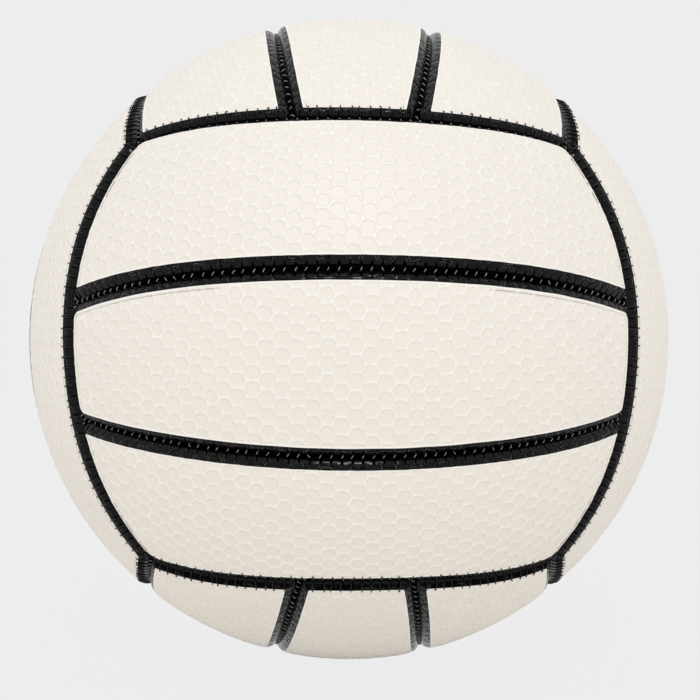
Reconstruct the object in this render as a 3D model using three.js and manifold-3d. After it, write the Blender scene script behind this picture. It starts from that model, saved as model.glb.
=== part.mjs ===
// Eighteen-panel sewn volleyball, in millimetres, +Z up, with its origin at the centre of the ball.
// Six cube-like faces carry three strips each. Every strip is a thin cover whose edges roll over and turn
// down into the seams, with a foam pad under it. Thread fills the seams, and inside lie the air bladder,
// its moulded valve housing and the valve plug. The valve is in the middle of the back face, on +Y.
import * as THREE from "three";
import { mergeVertices } from "three/addons/utils/BufferGeometryUtils.js";
import Module from "manifold-3d";

const wasm = await Module();
wasm.setup();

// Ball and its layers, from the outside in
const BALL_DIAMETER = 210;
const COVER_THICKNESS = 1.1;
const PAD_THICKNESS = 3.4;
const PAD_CLEARANCE = 0.3; // between a cover and the foam pad in it
const TURNED_EDGE_OVERHANG = 0.3; // how far a cover's turned-down edge reaches below its pad
const BLADDER_CLEARANCE = 0.3;
const BLADDER_THICKNESS = 0.8;

// Seam layout, as angles at the centre of the ball
const MIDDLE_SEAM_ANGLE = 13.9; // from a face's centre line to the seam beside its middle strip
const MIDDLE_SEAM_TAPER = 0.92; // 1 makes that seam a great circle, and less keeps the strip wider
const STRIP_END_ANGLE = 51.4; // from a face's centre to the seam across the ends of its strips
const STRIP_END_BOW = 2.2; // power of the bow in that seam between two cube corners

// Hand-sewn unevenness: places where the seams are pulled along the surface, each [bearing from the front
// towards the right, angle above the middle, millimetres to the east, millimetres to the north].
const SEAM_PULLS = [
  [0, -49, 2.0, 5.0],
  [0, 44, 0.0, -1.4],
  [-62, 0, 4.9, -3.0],
  [62, 0, -6.0, -1.4],
  [-52, 25, -4.8, 0.0],
  [52, 25, 3.4, -0.9],
  [-52, -25, -1.1, -1.5],
  [52, -25, 1.0, -2.0],
  [0, -13.9, 0.9, -0.3],
  [-13, 62, -1.1, 4.9],
  [13, 62, 1.2, 2.0],
  [-13, -62, 0.5, 0.8],
  [13, -62, -0.5, 0.0],
];
const PULL_REACH = 24; // angle over which a pull fades out
const PULL_STRETCH = 1.15; // most that the pulls lengthen any part of a seam

// Rolled edges of the covers
const EDGE_ROLL_WIDTH = 2.6;
const EDGE_ROLL_DEPTH = 3;

// Seam thread
const THREAD_WIDTH = 0.6;
const THREAD_HEIGHT = 1.1;
const THREAD_SINK = 2.1; // depth of the thread's top below the ball's surface
const THREAD_CLEARANCE = 0.35; // from the thread to the turned-down edge on each side

// Valve
const VALVE_FACE_DIAMETER = 8.4;
const VALVE_FACE_RECESS = 0.2; // how far the plug's flat face lies under the ball's surface
const VALVE_STEM_DIAMETER = 5;
const VALVE_TIP_LENGTH = 3; // how far the plug reaches past the housing, inside the bladder
const NEEDLE_HOLE_DIAMETER = 1.6;
const NEEDLE_FUNNEL_DIAMETER = 3;
const NEEDLE_FUNNEL_DEPTH = 1.2;
const HOUSING_WALL = 1.8;
const HOUSING_LENGTH = 11;
const HOUSING_FLANGE_DIAMETER = 24;
const HOUSING_FLANGE_THICKNESS = 1.2;
const VALVE_CLEARANCE = 0.3;

// Facets
const STRIP_STEPS = 10; // along a strip
const MIDDLE_ROWS = 4; // across a middle strip
const OUTER_ROWS = 3; // across an outer strip
const ROLL_STEPS = 3;
const END_THREAD_STEPS = 8; // along the seam across the strips' ends
const BLADDER_STEPS = 18;
const VALVE_STEPS = 16;

const coverMaterial = new THREE.MeshStandardMaterial({ color: 0xece6db, roughness: 0.45, metalness: 0 });
const padMaterial = new THREE.MeshStandardMaterial({ color: 0xd9d3c4, roughness: 0.95, metalness: 0 });
const threadMaterial = new THREE.MeshStandardMaterial({ color: 0x17171a, roughness: 0.7, metalness: 0 });
const bladderMaterial = new THREE.MeshStandardMaterial({ color: 0x2b2a2c, roughness: 0.6, metalness: 0 });
const valveMaterial = new THREE.MeshStandardMaterial({ color: 0x1c1c1e, roughness: 0.55, metalness: 0 });

const radians = THREE.MathUtils.degToRad;
const ballRadius = BALL_DIAMETER / 2;
const padTopDepth = COVER_THICKNESS + PAD_CLEARANCE;
const padUnderDepth = padTopDepth + PAD_THICKNESS;
const turnedEdgeDepth = padUnderDepth + TURNED_EDGE_OVERHANG;
const seamHalfGap = THREAD_WIDTH / 2 + THREAD_CLEARANCE;
const rollDepth = Math.min(EDGE_ROLL_DEPTH, COVER_THICKNESS + PAD_THICKNESS / 2);

// Seams. A face has x along its strips, y across them and z out of the ball, and a seam gives directions.

const quarterTurn = Math.PI / 2;
const cornerLatitude = Math.asin(1 / Math.sqrt(3));

// Angle from the centre of the face whose strips end at a seam, at a latitude along that seam.
function stripEndAngle(latitude) {
  const bow = 1 - Math.abs(Math.sin(latitude) / Math.sin(cornerLatitude)) ** STRIP_END_BOW;
  return quarterTurn / 2 + (radians(STRIP_END_ANGLE) - quarterTurn / 2) * bow;
}

// Seam beside the middle strip, on the side of y that the sign gives.
function middleSeam(side, longitude) {
  const latitude = side * radians(MIDDLE_SEAM_ANGLE) * Math.cos(longitude) ** MIDDLE_SEAM_TAPER;
  return new THREE.Vector3(
    Math.cos(latitude) * Math.sin(longitude),
    Math.sin(latitude),
    Math.cos(latitude) * Math.cos(longitude),
  );
}

// Seam across the ends of the strips, on the side of x that the sign gives.
function stripEndSeam(side, latitude) {
  const angle = stripEndAngle(latitude);
  return new THREE.Vector3(
    side * Math.cos(latitude) * Math.sin(angle),
    Math.sin(latitude),
    Math.cos(latitude) * Math.cos(angle),
  );
}

// Seam along the outer strip's long side, where the next face's strips end.
function faceSideSeam(latitude) {
  const angle = stripEndAngle(latitude);
  return new THREE.Vector3(
    Math.sin(latitude),
    Math.cos(latitude) * Math.cos(angle),
    Math.cos(latitude) * Math.sin(angle),
  );
}

// Latitude at which the seam beside the middle strip meets the seam across the strips' ends.
function findJunctionLatitude() {
  let latitude = radians(MIDDLE_SEAM_ANGLE) / 2;
  for (let pass = 0; pass < 40; pass++)
    latitude = radians(MIDDLE_SEAM_ANGLE) * Math.cos(stripEndAngle(latitude)) ** MIDDLE_SEAM_TAPER;
  return latitude;
}

const junctionLatitude = findJunctionLatitude();
const junctionLongitude = stripEndAngle(junctionLatitude);
const between = THREE.MathUtils.lerp;

// The four sides of a strip, counterclockwise seen from outside, each a function of 0 to 1.
const middleStrip = {
  rows: MIDDLE_ROWS,
  sides: [
    (t) => middleSeam(-1, between(-junctionLongitude, junctionLongitude, t)),
    (t) => stripEndSeam(1, between(-junctionLatitude, junctionLatitude, t)),
    (t) => middleSeam(1, between(junctionLongitude, -junctionLongitude, t)),
    (t) => stripEndSeam(-1, between(junctionLatitude, -junctionLatitude, t)),
  ],
};
const outerStrip = {
  rows: OUTER_ROWS,
  sides: [
    (t) => middleSeam(1, between(-junctionLongitude, junctionLongitude, t)),
    (t) => stripEndSeam(1, between(junctionLatitude, cornerLatitude, t)),
    (t) => faceSideSeam(between(cornerLatitude, -cornerLatitude, t)),
    (t) => stripEndSeam(-1, between(cornerLatitude, junctionLatitude, t)),
  ],
};

// Unit vector across a seam, in the ball's surface, towards the inside of the strip.
function inwardAcross(curve, t) {
  const step = 1e-4;
  const along = curve(Math.min(t + step, 1)).sub(curve(Math.max(t - step, 0)));
  return curve(t).cross(along).normalize();
}

// Loop of points round a strip, a distance in from the seams and a depth under the ball's surface.
function stripLoop(strip, { inset, depth }) {
  const points = [];
  strip.sides.forEach((curve, side) => {
    const steps = side % 2 ? strip.rows : STRIP_STEPS;
    const before = inwardAcross(strip.sides[(side + 3) % 4], 1);
    for (let step = 0; step < steps; step++) {
      const t = step / steps;
      const inward = inwardAcross(curve, t);
      if (step === 0) inward.add(before).divideScalar(1 + inwardAcross(curve, 0).dot(before));
      const direction = curve(t).addScaledVector(inward, inset / ballRadius).normalize();
      points.push(direction.multiplyScalar(ballRadius - depth));
    }
  });
  return points;
}

// Grid of points that fills a loop, blended between its four sides and lifted to its radius.
function fillLoop(loop, strip) {
  const columns = STRIP_STEPS;
  const rows = strip.rows;
  const low = (i) => loop[i];
  const right = (j) => loop[columns + j];
  const high = (i) => loop[columns + rows + (columns - i)];
  const left = (j) => loop[(2 * columns + rows + (rows - j)) % loop.length];
  const radius = loop[0].length();
  const grid = [];
  for (let i = 0; i <= columns; i++) {
    const s = i / columns;
    const column = [];
    for (let j = 0; j <= rows; j++) {
      const t = j / rows;
      const point = new THREE.Vector3()
        .addScaledVector(low(i), 1 - t)
        .addScaledVector(high(i), t)
        .addScaledVector(left(j), 1 - s)
        .addScaledVector(right(j), s)
        .addScaledVector(low(0), -(1 - s) * (1 - t))
        .addScaledVector(low(columns), -s * (1 - t))
        .addScaledVector(high(columns), -s * t)
        .addScaledVector(high(0), -(1 - s) * t);
      column.push(point.setLength(radius));
    }
    grid.push(column);
  }
  return grid;
}

// Closed body over a strip: a filled cap on the first and last profile point, and walls between them.
function stripBody(strip, profile) {
  const corners = [];
  const quad = (a, b, c, d) => corners.push(a, b, c, a, c, d);
  const loops = profile.map((point) => stripLoop(strip, point));
  const addCap = (grid, facesOut) => {
    for (let i = 0; i < STRIP_STEPS; i++)
      for (let j = 0; j < strip.rows; j++) {
        const ring = [grid[i][j], grid[i + 1][j], grid[i + 1][j + 1], grid[i][j + 1]];
        if (i < STRIP_STEPS / 2) ring.push(ring.shift()); // the facets mirror about the strip's middle
        quad(ring[0], ...(facesOut ? ring.slice(1) : ring.slice(1).reverse()));
      }
  };
  addCap(fillLoop(loops[0], strip), true);
  for (let level = 0; level + 1 < loops.length; level++) {
    const upper = loops[level];
    const lower = loops[level + 1];
    upper.forEach((point, k) => {
      const next = (k + 1) % upper.length;
      quad(point, lower[k], lower[next], upper[next]);
    });
  }
  addCap(fillLoop(loops.at(-1), strip), false);
  return new THREE.BufferGeometry().setFromPoints(corners);
}

// Profiles across a seam edge

const rollTop = { inset: seamHalfGap + EDGE_ROLL_WIDTH, depth: 0 };
const innerWallInset = seamHalfGap + COVER_THICKNESS;
const innerRollLow = { inset: innerWallInset, depth: rollDepth };
const innerRollTop = { inset: Math.max(rollTop.inset, innerWallInset + 1), depth: COVER_THICKNESS };

// Rounded edge from the ball's surface, which then runs straight down into the turned-down flange.
function rolledEdge() {
  return Array.from({ length: ROLL_STEPS }, (_, step) => {
    const turn = (quarterTurn * step) / ROLL_STEPS;
    return {
      inset: seamHalfGap + EDGE_ROLL_WIDTH * (1 - Math.sin(turn)),
      depth: rollDepth * (1 - Math.cos(turn)),
    };
  });
}

const coverProfile = [
  ...rolledEdge(),
  { inset: seamHalfGap, depth: turnedEdgeDepth },
  { inset: innerWallInset, depth: turnedEdgeDepth },
  innerRollLow,
  innerRollTop,
];

// The pad's skived edge leans in, clear of the sloping inner corner of its cover.
const padProfile = [
  { inset: innerRollTop.inset + PAD_CLEARANCE, depth: padTopDepth },
  { inset: innerWallInset + PAD_CLEARANCE, depth: padUnderDepth },
];

// Solid joins and cuts

function toSolid(geometry) {
  const bare = geometry.clone();
  bare.deleteAttribute("normal");
  bare.deleteAttribute("uv");
  const merged = mergeVertices(bare, 1e-4);
  return new wasm.Manifold(
    new wasm.Mesh({
      numProp: 3,
      vertProperties: merged.attributes.position.array,
      triVerts: new Uint32Array(merged.index.array),
    }),
  );
}

function toGeometry(solid) {
  const mesh = solid.getMesh();
  const geometry = new THREE.BufferGeometry();
  geometry.setAttribute("position", new THREE.BufferAttribute(mesh.vertProperties, 3));
  geometry.setIndex(new THREE.BufferAttribute(mesh.triVerts, 1));
  return geometry;
}

// Round cutter along z, between two heights over the ball's centre.
function roundCutter(diameter, low, high) {
  const cutter = new THREE.CylinderGeometry(diameter / 2, diameter / 2, high - low, VALVE_STEPS);
  cutter.rotateX(quarterTurn).translate(0, 0, (low + high) / 2);
  return toSolid(cutter);
}

// Bladder, valve housing and plug, turned round +Y

const facetSag = ballRadius * (1 - Math.cos((PULL_STRETCH * junctionLongitude) / STRIP_STEPS));
const bladderRadius = ballRadius - turnedEdgeDepth - facetSag - BLADDER_CLEARANCE;
const stemRadius = VALVE_STEM_DIAMETER / 2;
const housingBore = stemRadius + VALVE_CLEARANCE;
const housingRadius = housingBore + HOUSING_WALL;
const neckRadius = housingRadius + VALVE_CLEARANCE;
const seatRadius = HOUSING_FLANGE_DIAMETER / 2 + 1;
const seatHeight = Math.sqrt(bladderRadius ** 2 - seatRadius ** 2);
const flangeLow = seatHeight + VALVE_CLEARANCE;
const flangeHigh = flangeLow + HOUSING_FLANGE_THICKNESS;
const valveFaceHeight = ballRadius - VALVE_FACE_RECESS;
const headLow = flangeHigh + VALVE_CLEARANCE;

// Arc of a bladder wall from the flat seat round to the far pole.
function bladderArc(radius, flatRadius) {
  const start = Math.asin(flatRadius / radius);
  const steps = BLADDER_STEPS / 2 - 1;
  return Array.from({ length: steps + 1 }, (_, step) => {
    const turn = between(start, Math.PI, step / steps);
    const across = step === steps ? 0 : radius * Math.sin(turn);
    return new THREE.Vector2(across, radius * Math.cos(turn));
  });
}

function makeBladder() {
  const outer = bladderArc(bladderRadius, seatRadius);
  const inner = bladderArc(bladderRadius - BLADDER_THICKNESS, seatRadius);
  const profile = [
    ...inner.reverse(),
    new THREE.Vector2(neckRadius, seatHeight - BLADDER_THICKNESS),
    new THREE.Vector2(neckRadius, seatHeight),
    ...outer,
  ];
  return new THREE.LatheGeometry(profile.reverse(), BLADDER_STEPS);
}

// Ring turned round +Y from points of radius and height that close on themselves.
function turnedRing(points) {
  const profile = points.map(([radius, height]) => new THREE.Vector2(radius, height));
  return new THREE.LatheGeometry([...profile, profile[0].clone()], VALVE_STEPS);
}

function makeHousing() {
  const low = flangeHigh - HOUSING_LENGTH;
  return turnedRing([
    [housingBore, low],
    [housingRadius, low],
    [housingRadius, flangeLow],
    [HOUSING_FLANGE_DIAMETER / 2, flangeLow],
    [HOUSING_FLANGE_DIAMETER / 2, flangeHigh],
    [housingBore, flangeHigh],
  ]);
}

function makePlug() {
  const hole = NEEDLE_HOLE_DIAMETER / 2;
  const low = flangeHigh - HOUSING_LENGTH - VALVE_TIP_LENGTH;
  return turnedRing([
    [hole, low],
    [stemRadius, low],
    [stemRadius, headLow],
    [VALVE_FACE_DIAMETER / 2, headLow],
    [VALVE_FACE_DIAMETER / 2, valveFaceHeight],
    [NEEDLE_FUNNEL_DIAMETER / 2, valveFaceHeight],
    [hole, valveFaceHeight - NEEDLE_FUNNEL_DEPTH],
  ]);
}

// The covers and pads, with the valve's hole through the middle of the back face

const coverShape = { middle: stripBody(middleStrip, coverProfile), outer: stripBody(outerStrip, coverProfile) };
const padShape = { middle: stripBody(middleStrip, padProfile), outer: stripBody(outerStrip, padProfile) };

function cutForHead(geometry) {
  const diameter = VALVE_FACE_DIAMETER + 2 * VALVE_CLEARANCE;
  return toGeometry(toSolid(geometry).subtract(roundCutter(diameter, 0, 2 * ballRadius)));
}

function cutForFlange(geometry) {
  const diameter = HOUSING_FLANGE_DIAMETER + 2 * VALVE_CLEARANCE;
  return toGeometry(toSolid(geometry).subtract(roundCutter(diameter, 0, flangeHigh + VALVE_CLEARANCE)));
}

// Seam thread

// Three-sided strand in a seam, flat side up, along a curve of directions.
function strand(curve, steps) {
  const half = THREAD_WIDTH / 2 / ballRadius;
  const rings = Array.from({ length: steps + 1 }, (_, step) => {
    const t = step / steps;
    const across = inwardAcross(curve, t);
    const edge = (side) => curve(t).addScaledVector(across, side * half).normalize();
    return [
      edge(1).multiplyScalar(ballRadius - THREAD_SINK),
      edge(-1).multiplyScalar(ballRadius - THREAD_SINK),
      curve(t).multiplyScalar(ballRadius - THREAD_SINK - THREAD_HEIGHT),
    ];
  });
  const corners = [];
  for (let step = 0; step < steps; step++)
    for (let k = 0; k < 3; k++) {
      const next = (k + 1) % 3;
      const [a, b, c, d] = [rings[step][k], rings[step][next], rings[step + 1][next], rings[step + 1][k]];
      corners.push(a, b, c, a, c, d);
    }
  const [first, last] = [rings[0], rings.at(-1)];
  corners.push(first[0], first[2], first[1], last[0], last[1], last[2]);
  return toSolid(new THREE.BufferGeometry().setFromPoints(corners));
}

// One face's thread: along both seams beside the middle strip and both seams across the strips' ends.
function makeThread() {
  const stop = (THREAD_WIDTH + THREAD_CLEARANCE) / ballRadius; // keeps three strands apart at a cube corner
  const endLatitude = cornerLatitude - stop;
  const strands = [-1, 1].flatMap((side) => [
    strand((t) => middleSeam(side, between(-junctionLongitude, junctionLongitude, t)), STRIP_STEPS),
    strand((t) => stripEndSeam(side, between(-endLatitude, endLatitude, t)), END_THREAD_STEPS),
  ]);
  return toGeometry(strands.reduce((joined, next) => joined.add(next)));
}

const threadShape = makeThread();

// Pulls along the surface, as the direction each one is centred on and the move of the directions there

const pullReach = radians(PULL_REACH);
const pulls = SEAM_PULLS.map(([bearing, elevation, east, north]) => {
  const [turn, rise] = [radians(bearing), radians(elevation)];
  const level = Math.cos(rise);
  const centre = new THREE.Vector3(level * Math.sin(turn), -level * Math.cos(turn), Math.sin(rise));
  const eastward = new THREE.Vector3(Math.cos(turn), Math.sin(turn), 0);
  const northward = centre.clone().cross(eastward);
  const move = eastward.multiplyScalar(east).addScaledVector(northward, north).divideScalar(ballRadius);
  return { centre, move };
});

// Body in the ball's frame with each of its points pulled round the centre, at the same radius.
function pulled(geometry) {
  const points = geometry.attributes.position;
  for (let index = 0; index < points.count; index++) {
    const point = new THREE.Vector3().fromBufferAttribute(points, index);
    const radius = point.length();
    const direction = point.clone().divideScalar(radius);
    const moved = direction.clone();
    for (const { centre, move } of pulls)
      moved.addScaledVector(move, Math.exp(-direction.distanceToSquared(centre) / pullReach ** 2));
    moved.setLength(radius);
    points.setXYZ(index, moved.x, moved.y, moved.z);
  }
  return geometry;
}

// Assembly

const ball = new THREE.Group();

function addPiece(name, geometry, material) {
  const piece = new THREE.Mesh(geometry, material);
  piece.name = name;
  ball.add(piece);
}

const axis = {
  right: new THREE.Vector3(1, 0, 0),
  left: new THREE.Vector3(-1, 0, 0),
  back: new THREE.Vector3(0, 1, 0),
  front: new THREE.Vector3(0, -1, 0),
  top: new THREE.Vector3(0, 0, 1),
  bottom: new THREE.Vector3(0, 0, -1),
};

// Each face: which way its strips run, which way they are counted, and the strips' names in that order.
const faces = [
  { name: "front", along: "right", across: "top", strips: ["lower", "middle", "upper"] },
  { name: "back", along: "left", across: "top", strips: ["lower", "middle", "upper"] },
  { name: "top", along: "back", across: "left", strips: ["right", "middle", "left"] },
  { name: "bottom", along: "back", across: "right", strips: ["left", "middle", "right"] },
  { name: "right", along: "top", across: "front", strips: ["back", "middle", "front"] },
  { name: "left", along: "top", across: "back", strips: ["front", "middle", "back"] },
];

for (const face of faces) {
  const basis = new THREE.Matrix4().makeBasis(axis[face.along], axis[face.across], axis[face.name]);
  const sewn = (shape, turn) => pulled(shape.clone().rotateZ(turn).applyMatrix4(basis));
  face.strips.forEach((strip, place) => {
    const kind = place === 1 ? "middle" : "outer";
    const turn = place === 0 ? Math.PI : 0;
    const holdsValve = face.name === "back" && kind === "middle";
    const cover = holdsValve ? cutForHead(coverShape[kind]) : coverShape[kind];
    const pad = holdsValve ? cutForFlange(cutForHead(padShape[kind])) : padShape[kind];
    addPiece(`cover_${face.name}_${strip}`, sewn(cover, turn), coverMaterial);
    addPiece(`pad_${face.name}_${strip}`, sewn(pad, turn), padMaterial);
  });
  addPiece(`seam_thread_${face.name}`, sewn(threadShape, 0), threadMaterial);
}

addPiece("bladder", makeBladder(), bladderMaterial);
addPiece("valve_housing", makeHousing(), valveMaterial);
addPiece("valve_plug", makePlug(), valveMaterial);

export default ball;
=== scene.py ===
import math
from functools import partial

import bpy
import numpy as np
from mathutils import Matrix, Vector


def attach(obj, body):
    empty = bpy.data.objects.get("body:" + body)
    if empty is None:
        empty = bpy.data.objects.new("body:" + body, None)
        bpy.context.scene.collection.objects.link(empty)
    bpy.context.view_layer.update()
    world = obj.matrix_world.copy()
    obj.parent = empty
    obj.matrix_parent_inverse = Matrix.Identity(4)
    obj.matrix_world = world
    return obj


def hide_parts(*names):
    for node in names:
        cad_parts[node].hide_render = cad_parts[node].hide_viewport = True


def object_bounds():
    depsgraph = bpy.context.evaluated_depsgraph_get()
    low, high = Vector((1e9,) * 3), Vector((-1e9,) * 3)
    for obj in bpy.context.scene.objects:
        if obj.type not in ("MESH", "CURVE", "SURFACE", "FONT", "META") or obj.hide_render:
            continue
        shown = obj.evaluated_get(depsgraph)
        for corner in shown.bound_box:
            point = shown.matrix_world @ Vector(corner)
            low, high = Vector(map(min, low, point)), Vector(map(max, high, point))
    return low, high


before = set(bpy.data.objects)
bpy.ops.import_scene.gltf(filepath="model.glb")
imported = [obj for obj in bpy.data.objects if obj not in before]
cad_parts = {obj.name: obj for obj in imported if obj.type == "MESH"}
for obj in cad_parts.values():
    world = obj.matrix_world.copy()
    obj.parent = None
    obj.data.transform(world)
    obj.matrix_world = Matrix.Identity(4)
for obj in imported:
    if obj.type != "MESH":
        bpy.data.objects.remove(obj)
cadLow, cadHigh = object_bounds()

# Volleyball of eighteen sewn strips. Shapes are worked out in millimetres from the centre of the ball,
# in a face's own axes: x along its strips, y across them and z out of the ball. Each face is then turned
# into place.

millimetre = 0.001
ballRadius = cadHigh.z / millimetre
tinyStep = 1e-4  # for slopes and gradients

seamLayout = {
    "middleSeamAngle": 13.9,  # degrees from a face's centre line to the seam beside its middle strip
    "middleSeamTaper": 0.92,  # 1 makes that seam a great circle, and less keeps the strip wider
    "stripEndAngle": 51.4,  # degrees from a face's centre to the seam across the ends of its strips
    "stripEndBow": 2.2,  # power of the bow in that seam between two cube corners
}

# Hand-sewn unevenness: where the seams are pulled along the surface, as degrees from the front towards
# the right, degrees above the middle, and millimetres to the east and to the north
seamPulls = (
    (0, -49, 2.0, 3.9),
    (0, 44, 0.0, -1.4),
    (-62, 0, 4.9, -3.0),
    (62, 0, -5.5, -1.4),
    (-52, 25, -5.3, 0.0),
    (52, 25, 4.4, -0.9),
    (-52, -25, -1.1, -1.5),
    (52, -25, 1.8, -2.0),
    (0, -13.9, 0.9, -0.3),
    (-13, 62, -1.1, 4.9),
    (13, 62, 1.2, 2.0),
    (-13, -62, 2.7, 0.8),
    (13, -62, -4.1, 0.0),
)
pullReach = 24  # degrees over which a pull fades out

cover = {
    "seamHalfGap": 0.14,  # from the middle of a seam to the leather
    "blackHalfBand": 3.2,  # width of the black edge, from the middle of the seam
    "edgeWander": 0.06,  # unevenness of that width
    "edgeWanderRate": 6,  # its waves in one of the honeycomb's
    # radius of the black edge at a strip's low and high corners
    "frontCorners": {"middle": (4.8, 4.8), "outer": (3.5, 5.8)},
    "otherCorners": {"middle": (3.5, 3.5), "outer": (3.5, 3.5)},
    "blackSink": 0.07,  # how far the black edge lies under the white face
    "blackSinkEdge": (-0.12, 0.06),  # where that step starts and ends, from the end of the black edge
    "rollWidth": 3.0,
    "rollDepth": 1.7,
    "rollPower": 2.5,
    "crownReach": 9,  # how far in from the seam the strip still rises
    "crownDrop": 0.9,
    "tightReach": 1,  # to each side of a corner, where slack leather turns into tight leather
    "undersideDepth": 1.3,
    "undersideInset": 3.3,
    "flangeDepth": 5.1,  # how deep the turned-down edge reaches
    "flangeHalfGap": 0.62,  # from the middle of the seam to its end, down there
    "innerHalfGap": 1.4,  # from the middle of the seam to its inner side
    "innerRollDepth": 2.8,
    "cornerOrder": 0.05,  # share of their distance that a ring's points keep when it is pushed in
    # distances from the middle of a seam where the mesh has lines along it
    "edgeLines": (
        0.14, 0.3, 0.5, 0.75, 1.05, 1.35, 1.7, 2.1, 2.5, 2.85,
        3.06, 3.2, 3.3, 3.44, 3.65, 3.9, 4.2,
    ),
    "frontSteps": (500, 130),  # faces along and across a strip that the eye meets first
    "steps": (340, 100),
    "undersideShare": 10,  # steps of the top for one of the underside
    "seed": 100,
}

# Widths of the black edge that differ, by a strip's face and its place there. An outer strip's low side
# is the one beside the middle strip.
blackBands = {
    ("front", 0): {"Low": 3.2, "High": 3.0, "Left": 3.6, "Right": 3.6},
    ("front", 1): {"Low": 3.15, "High": 3.4, "Left": 3.6, "Right": 3.6},
    ("front", 2): {"Low": 3.3, "High": 2.3, "Left": 3.6, "Right": 3.6},
    ("top", 0): {"Right": 2.3},
    ("top", 1): {"Left": 2.3},
    ("top", 2): {"Left": 2.3},
    ("bottom", 0): {"Right": 3.0},
    ("bottom", 1): {"Left": 3.0},
    ("bottom", 2): {"Left": 3.0},
    ("right", 2): {"High": 3.6},
    ("left", 0): {"High": 3.6},
}

stitchSpacing = 2.85

# Ridge in the white leather beside the black edge, and the groove beside that
lip = {
    "height": 0.1,
    "centre": 3.34,
    "reach": 0.13,
    "grooveDepth": 0.05,
    "grooveCentre": 3.74,
    "grooveReach": 0.12,
}

emboss = {
    "pitch": 4.52,  # between the flat sides of a cell
    "depth": 0.22,  # of a cell's floor under its walls
    "fadeIn": (1.0, 2.6),  # over the roll, which is drawn smooth
    "blackDepth": 0.16,  # of the creases between cells on the black edge
    "lipFade": (0.6, 3.35, 0.45),  # share that is lost beside the black edge, its middle and its reach
    "valveReach": 8,  # smooth round the valve, up to here
    "valveFade": 0.6,
    "whiteEdge": 0.1,  # half the width of the change from black to white
    "wallHalf": 0.04,
    "slopeEnd": 0.42,  # from the middle of a wall to the floor of a cell
    "blackSlopeEnd": 1.1,
    "cellRadius": 0.512,  # as a share of the pitch, where half the pitch is a round cell
    "radiusSpread": 0.03,
    "spreadTurns": (2.3, 3.7),  # how fast that spread changes from cell to cell, along and across
    "stray": (0.05, 0.16),  # of the walls, as a share of the pitch, at the middle and the ends of a strip
    "strayReach": (20, 85),  # from where to where along a strip that grows
    "strayMesh": 64,  # cells before the strays repeat
    "strayShift": 9,  # cells between the strays along and across
    "wander": 0.9,  # slow drift of the cells
    "waves": 4,  # in that drift
    "waveLength": (18, 40),  # of the shortest, and how much longer the longest is
}

axisOf = {
    "right": (1, 0, 0),
    "left": (-1, 0, 0),
    "back": (0, 1, 0),
    "front": (0, -1, 0),
    "top": (0, 0, 1),
    "bottom": (0, 0, -1),
}

# Each face: its name, which way its strips run, which way they are counted, and their names in that order
faces = (
    ("front", "right", "top", ("lower", "middle", "upper")),
    ("back", "left", "top", ("lower", "middle", "upper")),
    ("top", "back", "left", ("right", "middle", "left")),
    ("bottom", "back", "right", ("left", "middle", "right")),
    ("right", "top", "front", ("back", "middle", "front")),
    ("left", "top", "back", ("front", "middle", "back")),
)
valveStrip = ("back", 1)  # face and place of the strip that the valve sits in


def unit(vectors):
    return vectors / np.linalg.norm(vectors, axis=-1, keepdims=True)


def between(first, second, share):
    return first + (second - first) * share


def smoothStep(low, high, value):
    share = np.clip((value - low) / (high - low), 0, 1)
    return share * share * (3 - 2 * share)


def mound(value, centre, reach):
    # bell curve with its top at the centre
    return np.exp(-(((value - centre) / reach) ** 2))


def slopeOf(curve, at):
    return (curve(at + tinyStep) - curve(at - tinyStep)) / (2 * tinyStep)


def pulled(points):
    # each direction moves by the sum of all pulls, every one times a bell curve round its own middle
    radius = np.linalg.norm(points, axis=-1, keepdims=True)
    directions = points / radius
    moved = directions
    for bearing, elevation, east, north in seamPulls:
        turn, rise = math.radians(bearing), math.radians(elevation)
        level = math.cos(rise)
        centre = np.array([level * math.sin(turn), -level * math.cos(turn), math.sin(rise)])
        eastward = np.array([math.cos(turn), math.sin(turn), 0])
        move = (east * eastward + north * np.cross(centre, eastward)) / ballRadius
        share = np.exp(-np.sum((directions - centre) ** 2, axis=-1) / math.radians(pullReach) ** 2)
        moved = moved + share[..., None] * move
    return unit(moved) * radius


# Seams, as directions from the centre of the ball

quarterTurn = math.pi / 2
cornerLatitude = math.asin(1 / math.sqrt(3))


def stripEndAngle(latitude):
    # 45 degrees at a cube corner, bowing out to the layout's angle half way between two corners
    bow = 1 - np.abs(np.sin(latitude) / math.sin(cornerLatitude)) ** seamLayout["stripEndBow"]
    return quarterTurn / 2 + (math.radians(seamLayout["stripEndAngle"]) - quarterTurn / 2) * bow


def middleSeamLatitude(longitude):
    # the layout's angle at the face's middle, times a power of the cosine of the longitude
    return math.radians(seamLayout["middleSeamAngle"]) * np.cos(longitude) ** seamLayout["middleSeamTaper"]


def fromAngles(longitude, latitude):
    # longitude counts from z towards x, and latitude from there towards y
    parts = [np.cos(latitude) * np.sin(longitude), np.sin(latitude), np.cos(latitude) * np.cos(longitude)]
    return np.stack(np.broadcast_arrays(*parts), axis=-1)


def anglesOf(directions):
    longitude = np.arctan2(directions[..., 0], directions[..., 2])
    return longitude, np.arcsin(np.clip(directions[..., 1], -1, 1))


def stripEndSeam(side, latitude):
    return fromAngles(side * stripEndAngle(latitude), latitude)


# Curves of 0 to 1 along the seams


def middleSeam(side, share):
    longitude = between(-junctionLongitude, junctionLongitude, share)
    return fromAngles(longitude, side * middleSeamLatitude(longitude))


def stripEnd(side, low, high, share):
    return stripEndSeam(side, between(low, high, share))


def faceEnd(side, share):
    return stripEnd(side, -cornerLatitude, cornerLatitude, share)


def faceSide(share):
    # the seam across the next face's strip ends, and those run along this face's z and count along its x
    return faceEnd(1, share)[..., [1, 2, 0]]


# Signed distances from a seam in millimetres: how far an angle is past the seam's, over the seam's slant


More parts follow.
